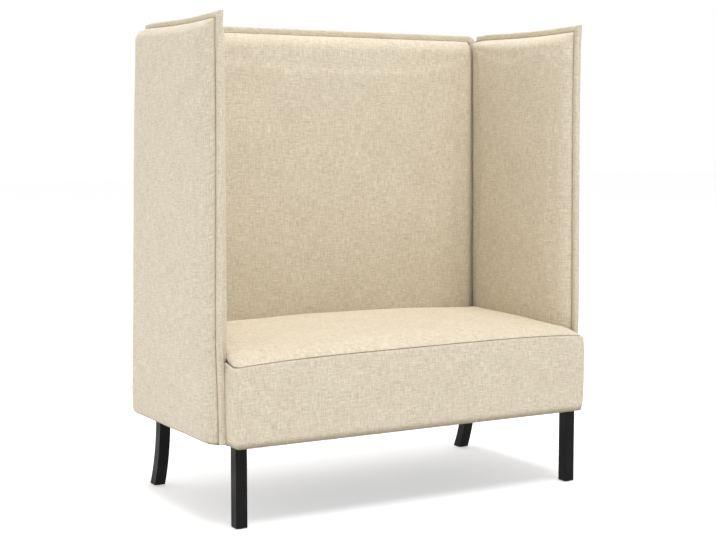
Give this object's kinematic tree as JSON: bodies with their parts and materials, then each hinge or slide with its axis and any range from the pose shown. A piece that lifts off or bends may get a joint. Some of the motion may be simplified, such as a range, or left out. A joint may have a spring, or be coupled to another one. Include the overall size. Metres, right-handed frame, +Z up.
{
  "type": "high back settee",
  "caption": "High back settee with box wings, pillow panels sewn into thick flanges, a crowned tight seat, straight front legs and sabre rear legs.",
  "frame": {"origin": "on the floor under the middle of the whole settee", "axes": "+Z up, the front of the seat faces -Y, +X to the right of someone who looks at the front"},
  "size_m": [1.2976, 0.6823, 1.432],
  "materials": {
    "linen_cover": "heathered oatmeal linen weave",
    "leg_lacquer": "satin black lacquer",
    "frame_wood": "planed hardwood",
    "zinc_steel": "zinc plated",
    "spring_steel": "oiled spring wire",
    "glide_plastic": "matt",
    "dust_cloth": "black spunbond cloth",
    "webbing": "woven elastic strap",
    "felt": "needle felt"
  },
  "bodies": {
    "root": {"back_bolts": "zinc_steel", "back_centre_stile": "frame_wood", "back_flange": "linen_cover", "back_foot_rail": "frame_wood", "back_inner_panel": "linen_cover", "back_middle_rail": "frame_wood", "back_outer_panel": "linen_cover", "back_stile_left": "frame_wood", "back_stile_right": "frame_wood", "back_top_rail": "frame_wood", "back_upper_centre_stile": "frame_wood", "back_webbing": "webbing", "dust_cover": "dust_cloth", "foot_glides": "glide_plastic", "front_leg_left": "leg_lacquer", "front_leg_right": "leg_lacquer", "leg_bolts": "zinc_steel", "leg_plates": "zinc_steel", "rear_leg_left": "leg_lacquer", "rear_leg_right": "leg_lacquer", "seat_bearer": "frame_wood", "seat_border": "linen_cover", "seat_corner_posts": "frame_wood", "seat_cushion": "linen_cover", "seat_front_rail": "frame_wood", "seat_insulator": "felt", "seat_rear_rail": "frame_wood", "seat_side_rail_left": "frame_wood", "seat_side_rail_right": "frame_wood", "seat_springs": "spring_steel", "spring_clips": "zinc_steel", "wing_bolts": "zinc_steel", "wing_flange_left": "linen_cover", "wing_flange_right": "linen_cover", "wing_foot_rail_left": "frame_wood", "wing_foot_rail_right": "frame_wood", "wing_front_post_left": "frame_wood", "wing_front_post_right": "frame_wood", "wing_inner_panel_left": "linen_cover", "wing_inner_panel_right": "linen_cover", "wing_middle_rail_left": "frame_wood", "wing_middle_rail_right": "frame_wood", "wing_outer_panel_left": "linen_cover", "wing_outer_panel_right": "linen_cover", "wing_rear_post_left": "frame_wood", "wing_rear_post_right": "frame_wood", "wing_top_rail_left": "frame_wood", "wing_top_rail_right": "frame_wood"}
  },
  "joints": []
}
